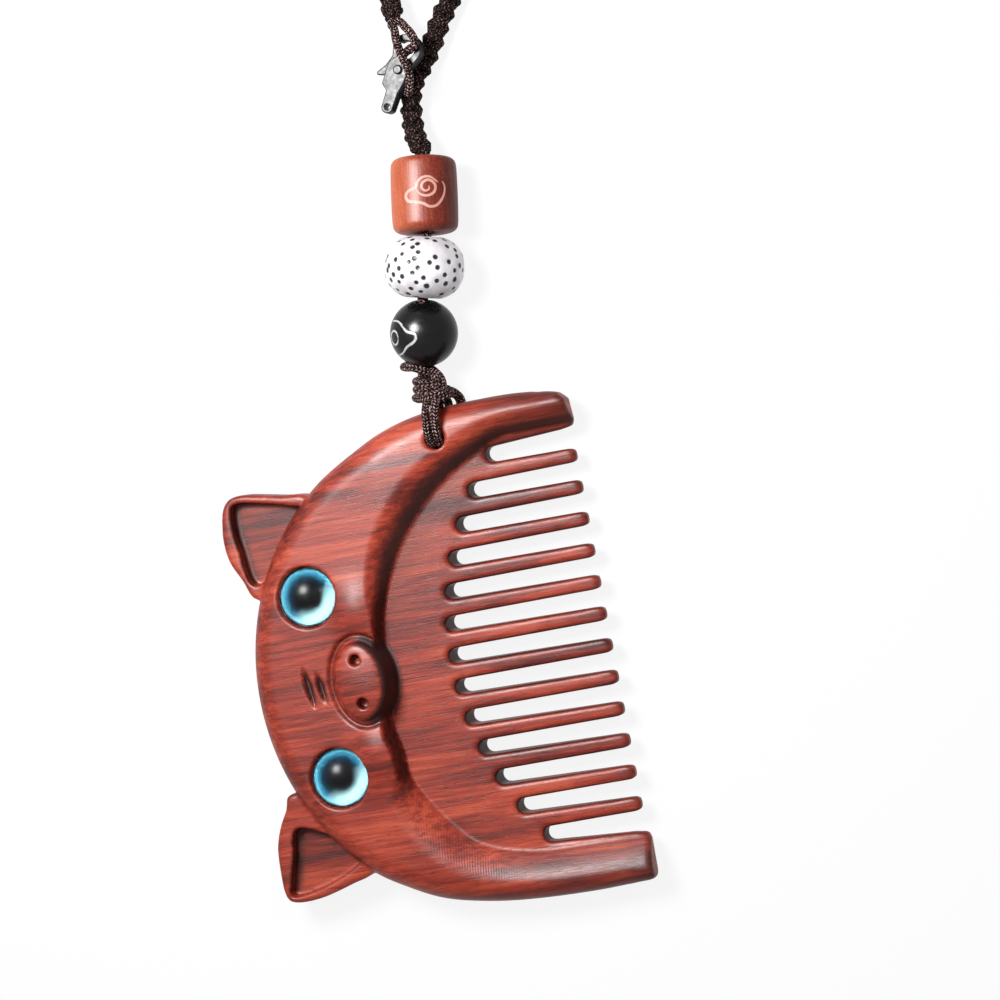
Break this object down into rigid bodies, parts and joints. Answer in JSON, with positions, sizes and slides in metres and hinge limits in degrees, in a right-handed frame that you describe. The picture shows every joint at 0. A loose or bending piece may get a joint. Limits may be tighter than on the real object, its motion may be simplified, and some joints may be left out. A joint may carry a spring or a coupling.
{
  "type": "hair comb",
  "caption": "Wide-tooth wooden comb carved as a pig's face with glass cabochon eyes, and a hanging lanyard of beads and braided cord with a lobster clasp.",
  "frame": {"origin": "middle of the comb's outline, on its flat underside", "axes": "+X along the comb's length towards the lanyard's horn, +Y from the tooth tips to the ears, +Z out of the carved face"},
  "size_m": [0.2333, 0.0844, 0.0161],
  "materials": {
    "red_wood": "oiled, fine long grain",
    "eye_glass": "polished dome",
    "iris_blue": "printed",
    "brown_cord": "waxed, braided",
    "black_stone": "polished, with pale lines",
    "white_seed": "smooth, dotted",
    "orange_wood": "lacquered, engraved",
    "black_metal": "gunmetal black"
  },
  "bodies": {
    "comb": {"comb_body": "red_wood", "eye_glass_left": "eye_glass", "eye_glass_right": "eye_glass", "eye_iris_left": "iris_blue", "eye_iris_right": "iris_blue"},
    "lanyard": {"hole_strand_left": "brown_cord", "hole_strand_right": "brown_cord", "neck_knot": "brown_cord", "knot_tail": "brown_cord", "bead_cord": "brown_cord", "braided_cord": "brown_cord", "link_leg_front": "brown_cord", "link_leg_back": "brown_cord"},
    "black_bead": {"black_bead": "black_stone"},
    "bodhi_bead": {"bodhi_bead": "white_seed"},
    "barrel_bead": {"barrel_bead": "orange_wood"},
    "clasp": {"clasp_body": "black_metal", "clasp_rivet": "black_metal", "clasp_spring": "black_metal"},
    "lever": {"clasp_lever": "black_metal"}
  },
  "joints": [
    {"name": "lanyard_swing", "type": "hinge", "parent": "comb", "child": "lanyard", "pos_m": [0.0442, -0.0114, 0.007], "axis": [0, 0, 1], "range_deg": [-12, 26]},
    {"name": "black_bead_turn", "type": "hinge", "parent": "lanyard", "child": "black_bead", "pos_m": [0.06566, -0.01226, 0.007], "axis": [0.963, -0.2047, 0.1756], "continuous": true},
    {"name": "bodhi_bead_turn", "type": "hinge", "parent": "lanyard", "child": "bodhi_bead", "pos_m": [0.07847, -0.01521, 0.00815], "axis": [0.9703, -0.2419, 0], "continuous": true},
    {"name": "barrel_bead_turn", "type": "hinge", "parent": "lanyard", "child": "barrel_bead", "pos_m": [0.09258, -0.01775, 0.00739], "axis": [0.9879, -0.1213, -0.097], "continuous": true},
    {"name": "clasp_swing", "type": "hinge", "parent": "lanyard", "child": "clasp", "pos_m": [0.1217, -0.02015, 0.0069], "axis": [0, 0, -1], "range_deg": [0, 30]},
    {"name": "clasp_lever_open", "type": "hinge", "parent": "clasp", "child": "lever", "pos_m": [0.11822, -0.01744, 0.0069], "axis": [0, 0, 1], "range_deg": [0, 18], "stiffness_Nm_per_rad": 0.004, "springref_deg": -20.05}
  ]
}
